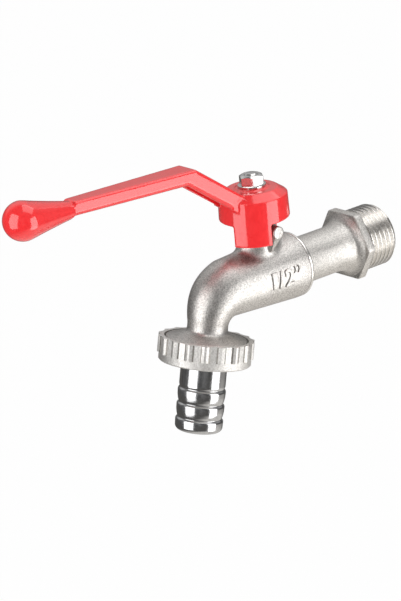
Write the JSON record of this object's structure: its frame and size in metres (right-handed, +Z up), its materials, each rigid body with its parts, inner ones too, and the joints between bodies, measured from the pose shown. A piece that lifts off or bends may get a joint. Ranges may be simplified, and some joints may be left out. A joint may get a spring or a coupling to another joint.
{
  "type": "ball valve bib tap",
  "caption": "Lever ball valve bib tap with a male wall inlet, a sloping spout and a screwed hose union with a barbed hose tail.",
  "frame": {"origin": "middle of the shoulder where the inlet thread starts", "axes": "+X along the inlet thread into the wall fitting, -X the way the spout and the open lever point, +Z up the valve stem"},
  "size_m": [0.1484, 0.0314, 0.0956],
  "materials": {
    "nickel_brass": "satin nickel plate on blasted cast brass",
    "chromed_brass": "mirror chrome plate on turned brass",
    "plated_stem": "bright nickel plate on turned brass",
    "ptfe": "plain white PTFE",
    "red_paint": "glossy red paint on a die casting",
    "plated_steel": "bright plated steel",
    "rubber": "black rubber"
  },
  "bodies": {
    "tap_body": {"body": "nickel_brass", "inlet_connector": "nickel_brass", "inlet_seat": "ptfe", "outlet_seat": "ptfe", "thrust_washer": "ptfe", "stem_packing": "ptfe", "gland_nut": "nickel_brass"},
    "valve": {"lever": "red_paint", "lever_washer": "plated_steel", "lever_nut": "plated_steel", "stem": "plated_stem", "ball": "chromed_brass"},
    "tail": {"hose_tail": "chromed_brass", "union_gasket": "rubber"},
    "coupling_nut": {"union_nut": "nickel_brass"}
  },
  "joints": [
    {"name": "valve_turn", "type": "hinge", "parent": "tap_body", "child": "valve", "pos_m": [-0.04, 0, 0.02], "axis": [0, 0, -1], "range_deg": [0, 90]},
    {"name": "tail_slide", "type": "slide", "parent": "tap_body", "child": "tail", "axis": [-0.2284, 0, -0.9736], "range_m": [0, 0.0035]},
    {"name": "union_spin", "type": "hinge", "parent": "tail", "child": "coupling_nut", "pos_m": [-0.06507, 0, -0.01801], "axis": [-0.2284, 0, -0.9736], "range_deg": [0, 700]}
  ],
  "couplings": [
    {"joint": "union_spin", "follows": "tail_slide", "rad_per_m": 3463.7}
  ]
}
